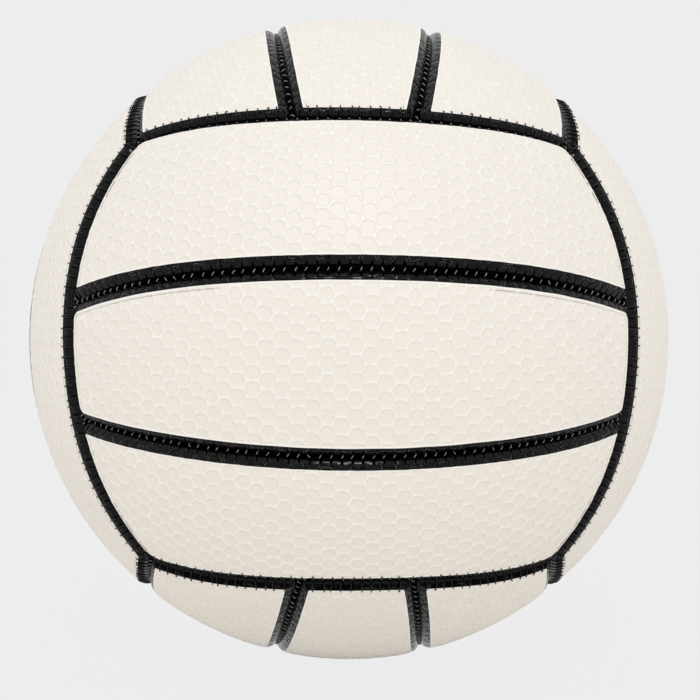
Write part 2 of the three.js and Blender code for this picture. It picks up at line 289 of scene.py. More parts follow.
def aboveMiddleSeam(side, directions):
    longitude, latitude = anglesOf(directions)
    slant = slopeOf(middleSeamLatitude, longitude) / np.cos(latitude)
    return ballRadius * (latitude - side * middleSeamLatitude(longitude)) / np.sqrt(1 + slant**2)


def insideStripEnd(side, directions):
    longitude, latitude = anglesOf(directions)
    slant = np.cos(latitude) * slopeOf(stripEndAngle, latitude)
    past = stripEndAngle(latitude) - side * longitude
    return ballRadius * np.cos(latitude) * past / np.sqrt(1 + slant**2)


def insideFaceSide(directions):
    return -insideStripEnd(1, directions[..., [2, 0, 1]])


# Where a middle seam meets the seam across the strip ends, found by going from one to the other
junctionLatitude = math.radians(seamLayout["middleSeamAngle"]) / 2
for _ in range(40):
    junctionLatitude = float(middleSeamLatitude(stripEndAngle(junctionLatitude)))
junctionLongitude = float(stripEndAngle(junctionLatitude))

# A strip's four sides, each a curve of 0 to 1, and how far inside each of them a direction lies
strips = {
    "middle": {
        "low": partial(middleSeam, -1),
        "high": partial(middleSeam, 1),
        "left": partial(stripEnd, -1, -junctionLatitude, junctionLatitude),
        "right": partial(stripEnd, 1, -junctionLatitude, junctionLatitude),
        "insideLow": partial(aboveMiddleSeam, -1),
        "insideHigh": lambda p: -aboveMiddleSeam(1, p),
        "tilt": 0,
    },
    "outer": {
        "low": partial(middleSeam, 1),
        "high": faceSide,
        "left": partial(stripEnd, -1, junctionLatitude, cornerLatitude),
        "right": partial(stripEnd, 1, junctionLatitude, cornerLatitude),
        "insideLow": partial(aboveMiddleSeam, 1),
        "insideHigh": insideFaceSide,
        "tilt": math.radians((seamLayout["middleSeamAngle"] + 90 - seamLayout["stripEndAngle"]) / 2),
    },
}
for strip in strips.values():
    strip["insideLeft"] = partial(insideStripEnd, -1)
    strip["insideRight"] = partial(insideStripEnd, 1)


def roundedCorner(first, second, radius):
    # the smaller of two distances, with its lines drawn round the corner in arcs
    near = np.minimum(first, second)
    arc = radius - np.hypot(np.maximum(radius - first, 0), np.maximum(radius - second, 0))
    return np.where(near < radius, arc, near)


def kindOf(place):
    return "middle" if place == 1 else "outer"


def stripOf(face, place):
    # a strip whose distances are scaled, so that every black edge ends at the same value
    strip = dict(strips[kindOf(place)], allTight=face == "top")
    for side, band in blackBands.get((face, place), {}).items():
        inside = strip["inside" + side]
        strip["inside" + side] = lambda p, inside=inside, band=band: (
            inside(p) * cover["blackHalfBand"] / band)
    return strip


def lengthOf(curve):
    # sum of the steps between 200 places on it
    places = curve(np.linspace(0, 1, 200))
    return ballRadius * float(np.sum(np.linalg.norm(np.diff(places, axis=0), axis=-1)))


middleStitches = int(lengthOf(partial(middleSeam, -1)) / stitchSpacing)
endStitches = int(lengthOf(partial(faceEnd, 1)) / stitchSpacing)


def stitchPlace(strip, directions):
    # stitches counted along the nearest seam, by longitude beside a middle strip and by latitude across
    # the ends, and 1 where the leather is drawn tight over the edge
    longitude, latitude = anglesOf(directions)
    alongMiddle = (longitude / junctionLongitude + 1) / 2 * middleStitches
    alongEnds = (latitude / cornerLatitude + 1) / 2 * endStitches
    alongSide = (np.arcsin(directions[..., 0]) / cornerLatitude + 1) / 2 * endStitches
    high = alongSide if strip["tilt"] else alongMiddle
    ends = np.minimum(strip["insideLeft"](directions), strip["insideRight"](directions))
    lowDistance, highDistance = strip["insideLow"](directions), strip["insideHigh"](directions)
    along = np.where(lowDistance < highDistance, alongMiddle, high)
    fromLength = ends - np.minimum(lowDistance, highDistance)
    reach = cover["tightReach"]
    tight = np.maximum(smoothStep(-reach, reach, fromLength), strip["allTight"])
    return np.where(fromLength < 0, alongEnds, along), tight


def edgeDistance(strip, corners, directions):
    # the least distance from a strip's four seams, rounded at its corners
    ends = np.minimum(strip["insideLeft"](directions), strip["insideRight"](directions))
    low = roundedCorner(strip["insideLow"](directions), ends, corners[0])
    high = roundedCorner(strip["insideHigh"](directions), ends, corners[1])
    return np.minimum(low, high)


skewAxis = (0.31, 0.52, 0.8)  # meets no seam


def gradientOf(inside, directions):
    # rate of a distance along two directions square to each other, as one vector in the ball's surface
    first = unit(np.cross(directions, skewAxis))
    second = np.cross(directions, first)
    here = inside(directions)
    rates = [(inside(unit(directions + tinyStep * way)) - here) / tinyStep for way in (first, second)]
    return rates[0][..., None] * first + rates[1][..., None] * second


def moveTo(inside, wanted, directions):
    # directions moved across a seam until their distance from it is the wanted one
    gradient = gradientOf(inside, directions)
    short = (wanted - inside(directions)) / np.sum(gradient**2, axis=-1)
    return unit(directions + gradient * short[..., None])


def gridLines(lengths, steps, lines):
    # shares of each length: set lines near both ends, and even steps between them
    share = np.linspace(0, 1, steps + 3 - 2 * len(lines))
    lengths = lengths[:, None]
    near = np.broadcast_to(lines[:-1], (len(lengths), len(lines) - 1))
    middle = lines[-1] + share * (lengths - 2 * lines[-1])
    return np.concatenate([near, middle, lengths - near[:, ::-1]], axis=1) / lengths


def coonsGrid(strip, s, t):
    # sides blended across from both pairs, less their corners blended both ways
    u, v = s[..., None], t[..., None]
    corners = (1 - v) * between(strip["low"](0.0), strip["low"](1.0), u)
    corners = corners + v * between(strip["high"](0.0), strip["high"](1.0), u)
    lengthwise = between(strip["low"](s), strip["high"](s), v)
    crosswise = between(strip["left"](t), strip["right"](t), u)
    return unit(lengthwise + crosswise - corners)


def stripGrid(strip, steps, lines):
    # a blend of the strip's sides, whose first and last rows and columns are moved to set distances inside
    lines = np.array(lines)
    s = np.linspace(0, 1, steps[0] + 1)
    t = np.linspace(0, 1, steps[1] + 1)
    acrossLength = ballRadius * np.arccos(np.sum(strip["low"](s) * strip["high"](s), axis=-1))
    alongLength = ballRadius * np.arccos(np.sum(strip["left"](t) * strip["right"](t), axis=-1))
    rows = gridLines(acrossLength, steps[1], lines)
    columns = gridLines(alongLength, steps[0], lines).T
    grid = coonsGrid(strip, columns, rows)
    count = len(lines)
    for _ in range(3):
        grid[:, :count] = moveTo(strip["insideLow"], lines, grid[:, :count])
        grid[:, -count:] = moveTo(strip["insideHigh"], lines[::-1], grid[:, -count:])
        grid[:count] = moveTo(strip["insideLeft"], lines[:, None], grid[:count])
        grid[-count:] = moveTo(strip["insideRight"], lines[::-1, None], grid[-count:])
    return grid


# Heights over the ball's surface


def edgeHeight(distance):
    # rollDepth * (1 - inset)^rollPower over the roll, on a cubic rise that ends at the crown's reach
    inset = (distance - cover["seamHalfGap"]) / cover["rollWidth"]
    roll = np.clip(1 - inset, 0, 1) ** cover["rollPower"]
    rise = np.clip(1 - (distance - cover["seamHalfGap"]) / cover["crownReach"], 0, 1) ** 3
    below = np.maximum(cover["seamHalfGap"] - distance, 0)
    return -cover["rollDepth"] * roll - cover["crownDrop"] * rise - below


def lipHeight(distance):
    # a bell-shaped ridge less a bell-shaped groove, and the black edge a little lower than the white
    ridge = lip["height"] * mound(distance, lip["centre"], lip["reach"])
    groove = lip["grooveDepth"] * mound(distance, lip["grooveCentre"], lip["grooveReach"])
    start, end = cover["blackSinkEdge"]
    white = smoothStep(cover["blackHalfBand"] + start, cover["blackHalfBand"] + end, distance)
    return ridge - groove - cover["blackSink"] * (1 - white)


def wanderOf(random, x, y):
    # sum of a few long waves, for what drifts slowly over a strip
    shortest, longer = emboss["waveLength"]
    total = 0
    for _ in range(emboss["waves"]):
        length = shortest + longer * random.random()
        heading = math.tau * random.random()
        start = math.tau * random.random()
        total = total + np.sin((x * math.cos(heading) + y * math.sin(heading)) * math.tau / length + start)
    return total / emboss["waves"]


def strayOf(random, x, y):
    # random values on a square mesh as wide as a cell, eased from one to the next
    size = emboss["strayMesh"]
    values = random.random((size, size)) * 2 - 1
    column, row = np.floor(x).astype(int), np.floor(y).astype(int)
    u, v = smoothStep(0, 1, x - column), smoothStep(0, 1, y - row)
    left, right, below, above = column % size, (column + 1) % size, row % size, (row + 1) % size
    low = between(values[left, below], values[right, below], u)
    high = between(values[left, above], values[right, above], u)
    return between(low, high, v)


def honeycombPlace(random, x, y):
    # place in the honeycomb, in pitches, with slow waves and short random strays that bend its walls
    wander = emboss["wander"]
    x = x + wander * wanderOf(random, x, y)
    y = y + wander * wanderOf(random, x, y)
    pitch = emboss["pitch"]
    stray = between(*emboss["stray"], smoothStep(*emboss["strayReach"], np.abs(x)))
    x, y = x / pitch, y / pitch
    along = strayOf(random, x, y)
    across = strayOf(random, x + emboss["strayShift"], y)
    return x + stray * along, y + stray * across


cellSpan = math.sqrt(3)  # the honeycomb repeats after this many pitches along x, and after one along y


def nearerOf(first, second):
    # of two places in x and y, the one that is nearer to nothing
    closer = np.hypot(*first) < np.hypot(*second)
    return tuple(np.where(closer, a, b) for a, b in zip(first, second))


def insideCell(x, y):
    # distances in from a six-sided cell's walls, and from a circle round its middle
    shifted = ((x + cellSpan / 2) % cellSpan - cellSpan / 2, (y + 0.5) % 1 - 0.5)
    other = (x % cellSpan - cellSpan / 2, y % 1 - 0.5)
    fromX, fromY = nearerOf(shifted, other)
    sides = np.maximum(np.abs(fromY), np.abs(fromX) * cellSpan / 2 + np.abs(fromY) / 2)
    alongTurns, acrossTurns = emboss["spreadTurns"]
    spread = emboss["radiusSpread"] * np.sin(alongTurns * (x - fromX) + acrossTurns * (y - fromY))
    circle = emboss["cellRadius"] + spread - np.hypot(fromX, fromY)
    return emboss["pitch"] * (0.5 - sides), emboss["pitch"] * circle


def embossPlace(strip, directions):
    # millimetres along and across a strip, counted from its own middle
    tilt = strip["tilt"]
    y = directions[..., 1] * math.cos(tilt) - directions[..., 2] * math.sin(tilt)
    z = directions[..., 1] * math.sin(tilt) + directions[..., 2] * math.cos(tilt)
    longitude, latitude = anglesOf(np.stack([directions[..., 0], y, z], axis=-1))
    return ballRadius * longitude, ballRadius * latitude


# Meshes


def buildMesh(name, points, faceGroups):
    # points in millimetres, and arrays of faces with the same number of corners in each
    mesh = bpy.data.meshes.new(name)
    corners = np.concatenate([group.ravel() for group in faceGroups])
    sizes = np.concatenate([np.full(len(group), group.shape[1]) for group in faceGroups])
    starts = np.concatenate([[0], np.cumsum(sizes)[:-1]])
    mesh.vertices.add(len(points))
    mesh.loops.add(len(corners))
    mesh.polygons.add(len(sizes))
    mesh.vertices.foreach_set("co", (points * millimetre).astype(np.float32).ravel())
    mesh.loops.foreach_set("vertex_index", corners.astype(np.int32))
    mesh.polygons.foreach_set("loop_start", starts.astype(np.int32))
    mesh.polygons.foreach_set("use_smooth", np.ones(len(sizes), bool))
    mesh.update(calc_edges=True)
    mesh.validate()
    return mesh


def addPiece(name, mesh, material, replaced):
    piece = bpy.data.objects.new(name, mesh)
    bpy.context.scene.collection.objects.link(piece)
    mesh.materials.append(material)
    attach(piece, "root")
    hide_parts(replaced)
    return piece


def storeValue(mesh, name, values):
    attribute = mesh.attributes.new(name, "FLOAT", "POINT")
    attribute.data.foreach_set("value", values.astype(np.float32).ravel())


def storeMap(mesh, name, places):
    corners = np.empty(len(mesh.loops), np.int32)
    mesh.loops.foreach_get("vertex_index", corners)
    mesh.uv_layers.new(name=name).data.foreach_set("uv", places[corners].astype(np.float32).ravel())


def gridFaces(index):
    # one quad between each two rows and columns
    quads = [index[:-1, :-1], index[1:, :-1], index[1:, 1:], index[:-1, 1:]]
    return np.stack(quads, axis=-1).reshape(-1, 4)


def numberLayers(layers):
    # vertex numbers of grids and rings that follow one another in a mesh
    counts = [layer.size // 3 for layer in layers]
    starts = np.cumsum([0] + counts)
    return [
        np.arange(start, start + count).reshape(layer.shape[:-1])
        for start, count, layer in zip(starts, counts, layers)
    ]


def joinLayers(layers):
    return np.concatenate([layer.reshape(-1, 3) for layer in layers])


def ringOf(grid):
    # the border of a grid, counterclockwise: low side, right side, high side, left side
    return np.concatenate([grid[:-1, 0], grid[-1, :-1], grid[:0:-1, -1], grid[0, :0:-1]])


def wallFaces(upper, lower):
    # quads between two rings of the same length
    return np.stack([upper, lower, np.roll(lower, -1), np.roll(upper, -1)], axis=-1)


def zipFaces(upper, lower, share):
    # triangles from a fine ring to a coarse one that has one point for each share of the fine ring's
    half = share // 2
    nearest = lower[(np.arange(len(upper)) + half) // share % len(lower)]
    fans = np.stack([upper, nearest, np.roll(upper, -1)], axis=-1)
    bridges = np.stack([upper[half::share], lower, np.roll(lower, -1)], axis=-1)
    return [fans, bridges]


def insetRing(strip, ring, inset):
    # a ring pushed in from all four seams, whose points keep their order near the corners
    moved = ring
    for _ in range(2):
        for name in ("insideLow", "insideRight", "insideHigh", "insideLeft"):
            wanted = inset + cover["cornerOrder"] * strip[name](ring)
            moved = moveTo(strip[name], np.maximum(strip[name](moved), wanted), moved)
    return moved


def fillRing(ring, along, across):
    # grid of directions blended between the four stretches of a ring
    corner = np.cumsum([0, along, across, along, across])
    closed = np.concatenate([ring, ring[:1]])
    low, right = closed[: corner[1] + 1], closed[corner[1] : corner[2] + 1]
    high, left = closed[corner[2] : corner[3] + 1][::-1], closed[corner[3] :][::-1]
    u = np.linspace(0, 1, along + 1)[:, None, None]
    v = np.linspace(0, 1, across + 1)[None, :, None]
    corners = (1 - v) * between(low[0], low[-1], u) + v * between(high[0], high[-1], u)
    return unit(between(low[:, None], high[:, None], v) + between(left[None], right[None], u) - corners)


def coverSurface(strip, corners, random, steps, atValve):
    # height over the ball: the edge's roll and crown, the lip, and the cells less their floors' depth
    grid = stripGrid(strip, steps, cover["edgeLines"])
    x, y = embossPlace(strip, grid)
    rate = cover["edgeWanderRate"]
    uneven = cover["edgeWander"] * wanderOf(random, rate * x, rate * y)
    distance = edgeDistance(strip, corners, grid) + uneven
    comb = honeycombPlace(random, x, y)
    fromWall, fromCircle = insideCell(*comb)
    floor = smoothStep(emboss["wallHalf"], emboss["slopeEnd"], np.minimum(fromWall, fromCircle))
    pillow = smoothStep(0, emboss["blackSlopeEnd"], fromWall)
    lost, lostCentre, lostReach = emboss["lipFade"]
    fade = smoothStep(*emboss["fadeIn"], distance) * (1 - lost * mound(distance, lostCentre, lostReach))
    if atValve:
        reach, change = emboss["valveReach"], emboss["valveFade"]
        fade = fade * smoothStep(reach - change, reach + change, np.hypot(x, y))
    band, change = cover["blackHalfBand"], emboss["whiteEdge"]
    white = smoothStep(band - change, band + change, distance)
    relief = -white * emboss["depth"] * floor - (1 - white) * emboss["blackDepth"] * (1 - pillow)
    height = edgeHeight(distance) + lipHeight(distance) + fade * relief
    return grid, distance, fade, np.stack(comb, axis=-1), height


def coverMesh(name, strip, corners, random, steps, turn, atValve):
    # the embossed face, walls down under the roll and up again inside it, and a coarse underside
    grid, distance, fade, comb, height = coverSurface(strip, corners, random, steps, atValve)
    share = cover["undersideShare"]
    ring = ringOf(grid)
    flange = insetRing(strip, ring, cover["flangeHalfGap"])
    innerWall = insetRing(strip, ring, cover["innerHalfGap"])
    deep = ballRadius - cover["flangeDepth"]
    coarse = insetRing(strip, ring, cover["undersideInset"])[::share]
    underside = fillRing(coarse, steps[0] // share, steps[1] // share)
    layers = [
        grid * (ballRadius + height)[..., None],
        flange * deep,
        innerWall * deep,
        innerWall * (ballRadius - cover["innerRollDepth"]),
        underside * (ballRadius - cover["undersideDepth"]),
    ]
    index = numberLayers(layers)
    rings = [ringOf(index[0]), *index[1:4]]
    groups = [gridFaces(index[0])]
    groups += [wallFaces(upper, lower) for upper, lower in zip(rings, rings[1:])]
    groups += zipFaces(rings[-1], ringOf(index[4]), share)
    groups.append(gridFaces(index[4])[:, ::-1])
    points = joinLayers(layers)
    mesh = buildMesh(name, pulled(points @ turn.T), groups)
    hidden = np.zeros(len(points) - distance.size)
    stitches, tight = stitchPlace(strip, grid)
    storeValue(mesh, "stitchPlace", np.concatenate([stitches.ravel(), hidden]))
    storeValue(mesh, "tightness", np.concatenate([tight.ravel(), hidden]))
    storeValue(mesh, "edgeDistance", np.concatenate([distance.ravel(), hidden - 1]))
    storeValue(mesh, "embossFade", np.concatenate([fade.ravel(), hidden]))
    storeMap(mesh, "honeycomb", np.concatenate([comb.reshape(-1, 2), np.zeros((len(hidden), 2))]))
    return mesh


# Shader maths: an operator on a wire adds a Math node


class Wire:
    def __init__(self, finish, socket):
        self.finish = finish
        self.socket = socket

    def combine(self, operation, first, second):
        return self.finish.node("ShaderNodeMath", {"operation": operation}, {0: first, 1: second})

    def __add__(self, other):
        return self.combine("ADD", self, other)

    def __sub__(self, other):
        return self.combine("SUBTRACT", self, other)

    def __rsub__(self, other):
        return self.combine("SUBTRACT", other, self)

    def __mul__(self, other):
        return self.combine("MULTIPLY", self, other)

    def __mod__(self, other):
        return self.combine("FLOORED_MODULO", self, other)

    def __abs__(self):
        return self.combine("ABSOLUTE", self, 0.0)

    def least(self, other):
        return self.combine("MINIMUM", self, other)

    def most(self, other):
        return self.combine("MAXIMUM", self, other)

    def sine(self):
        return self.combine("SINE", self, 0.0)

    def root(self):
        return self.combine("SQRT", self, 0.0)

    __radd__ = __add__
    __rmul__ = __mul__


class Finish:
    def __init__(self, owner):
        owner.use_nodes = True
        self.owner = owner
        self.tree = owner.node_tree
        self.tree.nodes.clear()

    def node(self, kind, settings=None, sockets=None, output=0):
        made = self.tree.nodes.new(kind)
        for key, value in (settings or {}).items():
            setattr(made, key, value)
        for key, value in (sockets or {}).items():
            if isinstance(value, Wire):
                self.tree.links.new(value.socket, made.inputs[key])
            else:
                made.inputs[key].default_value = value
        return Wire(self, made.outputs[output]) if len(made.outputs) else None

    def value(self, attribute):
        return self.node("ShaderNodeAttribute", {"attribute_name": attribute}, output="Fac")

    def place(self):
        return self.node("ShaderNodeTexCoord", output="Object")

    def noise(self, size, detail):
        # size is that of one blotch, in millimetres
        sockets = {"Vector": self.place(), "Scale": 1 / (size * millimetre), "Detail": detail}
        return self.node("ShaderNodeTexNoise", {}, sockets)

    def step(self, value, low, high):
        sockets = {"Value": value, "From Min": low, "From Max": high}
        return self.node("ShaderNodeMapRange", {"interpolation_type": "SMOOTHSTEP"}, sockets)

    def blend(self, share, first, second):
        return self.node("ShaderNodeMix", {"data_type": "RGBA"}, {0: share, 6: first, 7: second}, output=2)

    def bump(self, height, strength, rise, normal=None):
        sockets = {"Height": height, "Strength": strength, "Distance": rise * millimetre}
        if normal:
            sockets["Normal"] = normal
        return self.node("ShaderNodeBump", {}, sockets)

    def looking(self):
        # one for rays that see the backdrop as it is, and nothing for those that it lights
        rays = ("Is Camera Ray", "Is Glossy Ray", "Is Transmission Ray")
        seen, glossy, passed = [self.node("ShaderNodeLightPath", output=ray) for ray in rays]
        return seen.most(glossy).most(passed)

    def surface(self, shader):
        self.node("ShaderNodeOutputMaterial", {}, {"Surface": shader})
        return self.owner


def newFinish(name):
    return Finish(bpy.data.materials.new(name))


leather = {
    # pale line round each cell: a painted highlight on the cell rims
    "wall": (0.9, 0.87, 0.81, 1),
    "plateau": (0.845, 0.805, 0.745, 1),  # between three cells, inside the pale line
    "floor": (0.825, 0.78, 0.715, 1),
    # painted highlight along the lip beside the black edge
    "lip": (0.93, 0.91, 0.87, 1),
    "paintedRimHighlight": (-0.3, -0.1, 0.1, 0.26),  # where the pale line round a cell, a painted highlight on its rim, starts, is full, and ends
    "rimHighlightShare": (0.8, 0.4),  # least of that line, and what the mottles add
    "mottleSize": 9,
    "floorEnd": 0.34,  # where a cell's floor turns darker, from its wall
    "lipHighlightEnd": (0.25, 0.55),  # from the black edge, where the lip's painted highlight fades out
    "lipHighlightShare": 0.85,
    "whiteEdge": 0.04,  # half the width of the change from black to white
    "black": (0.0012, 0.0012, 0.0011, 1),
    # painted shade in the creases, at the stitches and in the gap under the roll: darker and without shine
    "blackCreaseShade": (0.0006, 0.0006, 0.0006, 1),
    "creaseLine": (0.06, 0.22),
    "creaseGlint": (0.13, 0.128, 0.122, 1),  # painted highlight: grey glints beside the creases of the black edge
    "creaseGlintLine": (0.2, 0.3, 0.42),  # from and to the middle of that line, and where it ends again
    "creaseGlintSize": 1.4,  # of the patches that carry those painted glints
    "creaseGlintPatches": (0.44, 0.6),
    "whiteRoughness": 0.43,
    "blackRoughness": 0.42,
    "rollRoughness": 0.14,  # where the leather is drawn tight over the edge
    "creaseShadeRoughness": 0.9,
    "roughnessSpread": (0.85, 0.3),  # least share of a roughness, and what the grain adds
    "whiteGloss": 0.45,
    "blackGloss": 0.5,
    "rollGloss": 0.17,
    "creaseShadeGloss": 0.0,
    "index": 1.5,  # of refraction
    "blackIndex": 1.08,  # low, so that its shine hardly grows towards the rim
    "rollEnd": (0.9, 1.5),
    "pinchReach": 0.48,  # from a stitch along the seam
    "pinchLine": (0.06, 0.24),
    "pinchEnd": (1.5, 2.5),  # how far a pinch reaches up over the roll
    "gapEnd": (0.15, 0.4),  # under the roll
    "grainSize": 0.3,
    # strength and rise of each bump
    "grainBump": (0.5, 0.02),
    "wallBump": (1.0, -0.1),
    "blackBump": (1.0, 0.1),
    "pinchBump": (1.0, -0.25),
    "blackGrainBump": (0.3, 0.006),
}


def insideCellWire(finish):
    # the same distances into a cell that shape the mesh
    comb = finish.node("ShaderNodeUVMap", {"uv_map": "honeycomb"})
    x = finish.node("ShaderNodeSeparateXYZ", {}, {0: comb}, output="X")
    y = finish.node("ShaderNodeSeparateXYZ", {}, {0: comb}, output="Y")
    shiftedX, shiftedY = (x + cellSpan / 2) % cellSpan - cellSpan / 2, (y + 0.5) % 1.0 - 0.5
    otherX, otherY = x % cellSpan - cellSpan / 2, y % 1.0 - 0.5
    shiftedFar = shiftedX * shiftedX + shiftedY * shiftedY
    otherFar = otherX * otherX + otherY * otherY
    closer = shiftedFar.combine("LESS_THAN", shiftedFar, otherFar)
    fromX = otherX + closer * (shiftedX - otherX)
    fromY = otherY + closer * (shiftedY - otherY)
    sides = abs(fromY).most(abs(fromX) * (cellSpan / 2) + abs(fromY) * 0.5)
    alongTurns, acrossTurns = emboss["spreadTurns"]
    spread = (alongTurns * (x - fromX) + acrossTurns * (y - fromY)).sine() * emboss["radiusSpread"]
    circle = spread + emboss["cellRadius"] - shiftedFar.least(otherFar).root()
    return (0.5 - sides) * emboss["pitch"], circle * emboss["pitch"]


def whiteFinish(finish, edge, fade, grain, inside):
    # colour and normal of the white leather: cell floors, pale lines round them that are a painted
    # highlight on the rims, and the lip with its painted highlight
    mottle = finish.noise(leather["mottleSize"], 3.0)
    begin, full, last, end = leather["paintedRimHighlight"]
    # painted highlight: the pale line round each cell's rim
    line = fade * finish.step(inside, begin, full) * (1 - finish.step(inside, last, end))
    floor = finish.step(inside, emboss["wallHalf"], leather["floorEnd"])
    lipHighlightStart, lipHighlightStop = leather["lipHighlightEnd"]
    band = cover["blackHalfBand"]
    # painted highlight on the lip beside the black edge
    lipHighlight = (1 - finish.step(edge, band + lipHighlightStart, band + lipHighlightStop)) * leather["lipHighlightShare"]
    least, added = leather["rimHighlightShare"]
    colour = finish.blend(fade * (1 - floor), leather["floor"], leather["plateau"])
    colour = finish.blend(line * (least + added * mottle), colour, leather["wall"])
    colour = finish.blend(lipHighlight, colour, leather["lip"])
    normal = finish.bump(fade * floor, *leather["wallBump"])
    return colour, finish.bump(grain, *leather["grainBump"], normal)


def blackFinish(finish, edge, fade, grain, fromWall):
    # colour and normal of the black edge, with painted glints beside its creases, and its creases, which
    # are painted shade: between cells, at stitches and in the gap
    # painted highlight: grey glints along a line beside each crease, in patches
    start, middle, stop = leather["creaseGlintLine"]
    creaseGlint = finish.step(fromWall, start, middle) * (1 - finish.step(fromWall, middle, stop))
    patches = finish.step(finish.noise(leather["creaseGlintSize"], 1.0), *leather["creaseGlintPatches"])
    colour = finish.blend(fade * creaseGlint * patches, leather["black"], leather["creaseGlint"])
    fromStitch = abs(finish.value("stitchPlace") % 1.0 - 0.5) * stitchSpacing
    onRoll = 1 - finish.step(edge, *leather["pinchEnd"])
    inGap = 1 - finish.step(edge, *leather["gapEnd"])
    pinch = onRoll * (1 - finish.step(fromStitch, 0.0, leather["pinchReach"]))
    # painted shade: a mask of the creases between cells, the pinches at the stitches and the gap under the
    # roll
    creaseShade = fade * (1 - finish.step(fromWall, *leather["creaseLine"]))
    creaseShade = creaseShade.most(onRoll * (1 - finish.step(fromStitch, *leather["pinchLine"]))).most(inGap)
    pillow = finish.step(fromWall, 0.0, emboss["blackSlopeEnd"])
    normal = finish.bump(fade * pillow, *leather["blackBump"])
    normal = finish.bump(pinch, *leather["pinchBump"], normal)
    return colour, finish.bump(grain, *leather["blackGrainBump"], normal), creaseShade


def leatherFinish():
    finish = newFinish("coverLeather")
    edge = finish.value("edgeDistance")
    fade = finish.value("embossFade")
    grain = finish.noise(leather["grainSize"], 2.0)
    fromWall, fromCircle = insideCellWire(finish)
    whiteColour, whiteNormal = whiteFinish(finish, edge, fade, grain, fromWall.least(fromCircle))
    blackColour, blackNormal, creaseShade = blackFinish(finish, edge, fade, grain, fromWall)
    least, added = leather["roughnessSpread"]

    def glossy(kind, colour, normal, index):
        return finish.node("ShaderNodeBsdfPrincipled", {}, {
            "Base Color": colour,
            "Roughness": leather[kind + "Roughness"] * (least + added * grain),
            "IOR": leather[index],
            "Specular IOR Level": leather[kind + "Gloss"],
            "Normal": normal,
        })

    def mixed(share, first, second):
        return finish.node("ShaderNodeMixShader", {}, {0: share, 1: first, 2: second})

    flat = glossy("black", blackColour, blackNormal, "blackIndex")
    roll = glossy("roll", blackColour, blackNormal, "index")
    # painted shade: darker black without shine where the creases are
    shadedCrease = glossy("creaseShade", leather["blackCreaseShade"], blackNormal, "blackIndex")
    pale = glossy("white", whiteColour, whiteNormal, "index")
    onFlat = finish.step(edge, *leather["rollEnd"]) * (1 - finish.value("tightness"))
    black = mixed(creaseShade, mixed(onFlat, roll, flat), shadedCrease)
    change = leather["whiteEdge"]
    white = finish.step(edge, cover["blackHalfBand"] - change, cover["blackHalfBand"] + change)
    return finish.surface(mixed(white, black, pale))


foam = {
    "dark": (0.52, 0.49, 0.42, 1),
    "light": (0.66, 0.62, 0.54, 1),
    "roughness": 0.95,
    "blotchSize": 3,
    "grainSize": 0.5,
    "grainBump": (0.5, 0.2),
    "roughnessSpread": 0.15,
}

bladderRubber = {
    "dark": (0.016, 0.016, 0.017, 1),
    "light": (0.03, 0.03, 0.032, 1),
    "roughness": 0.6,
    "blotchSize": 12,
    "grainSize": 0.5,
    "grainBump": (0.5, 0.03),
    "roughnessSpread": 0.15,
}

valveRubber = {
    "dark": (0.012, 0.012, 0.013, 1),
    "light": (0.024, 0.024, 0.026, 1),
    "roughness": 0.5,
    "blotchSize": 2,
    "grainSize": 0.2,
    "grainBump": (0.5, 0.03),
    "roughnessSpread": 0.15,
}


def plainFinish(name, looks):
    # two near colours in slow blotches, with a fine grain
    finish = newFinish(name)
    grain = finish.noise(looks["grainSize"], 3.0)
    sockets = {
        "Base Color": finish.blend(finish.noise(looks["blotchSize"], 3.0), looks["dark"], looks["light"]),
        "Roughness": looks["roughness"] + looks["roughnessSpread"] * (grain - 0.5),
        "Normal": finish.bump(grain, *looks["grainBump"]),
    }
    return finish.surface(finish.node("ShaderNodeBsdfPrincipled", {}, sockets))


thread = {
    "cordRadius": 0.35,
    "cordDepth": 4.2,
    "plies": 3,
    "plyDepth": 0.18,  # as a share of the cord's radius
    "twistLength": 5.5,  # one turn of the cord
    "cordStep": 0.6,
    "cordSides": 8,
    "cordEnds": (0.004, 0.996),  # as shares of the seam's length
    "stitchEnds": (0.002, 0.998),
    "stitchPlaces": 8,
    "stitchSides": 5,
    "stitchRadius": 0.14,
    "stitchReach": 0.5,  # to each side of the seam
    "stitchSlant": 0.3,
    "stitchRest": 0.4,  # a stitch is straight up to here from the middle of the seam
    "stitchRise": 0.5,  # over the leather, as a share of its radius
    "stitchDive": (0.6, 6),  # of its ends into the leather, and the power of that curve
    "strayStitches": 0.12,  # share of them that slant the other way
    "loopPlaces": 12,
    "loopRadius": 0.13,
    "loopStart": 0.5,  # from the middle of the seam
    "loopPast": 0.5,  # how far a loop reaches past the black edge
    "loopBend": 0.3,
    "loopRise": 0.4,
    "loopKnot": (0.28, 0.3, 0.35),  # height of the knot at a loop's end, its place before that, and reach
    "loopDive": (0.5, 24),
    "loopSwell": (0.6, 4),
    # least share of each size, and what chance adds
    "reachSpread": (0.9, 0.25),
    "slantSpread": (0.8, 0.5),
    "radiusSpread": (0.85, 0.3),
    "pastSpread": (0.7, 0.5),
    "loopRadiusSpread": (0.8, 0.4),
    "unevenness": 0.05,  # of the spacing
    "dark": (0.004, 0.004, 0.004, 1),
    # painted glint on the stitches
    "pale": (0.3, 0.295, 0.28, 1),
    "paintedGlint": {"cord": 0.0, "stitch": 1.0, "loop": 0.04},
    "paintedGlintSpread": (0.6, 0.8),
    "roughness": (0.3, 0.1),  # least, and what the grain adds
    "gloss": 0.3,
    "grainSize": 0.12,
    "grainBump": (0.5, 0.03),
    # sides of each face's end seams that have loops, and widths of the black edge there where they differ
    "loopSides": {
        "front": (-1,),
        "back": (-1,),
        "top": (1,),
        "bottom": (-1, 1),
        "right": (1,),
        "left": (1,),
    },
    "bands": {("front", -1): 3.6, ("front", 1): 3.6, ("top", -1): 2.3, ("bottom", -1): 3.0},
    "seed": 700,
}


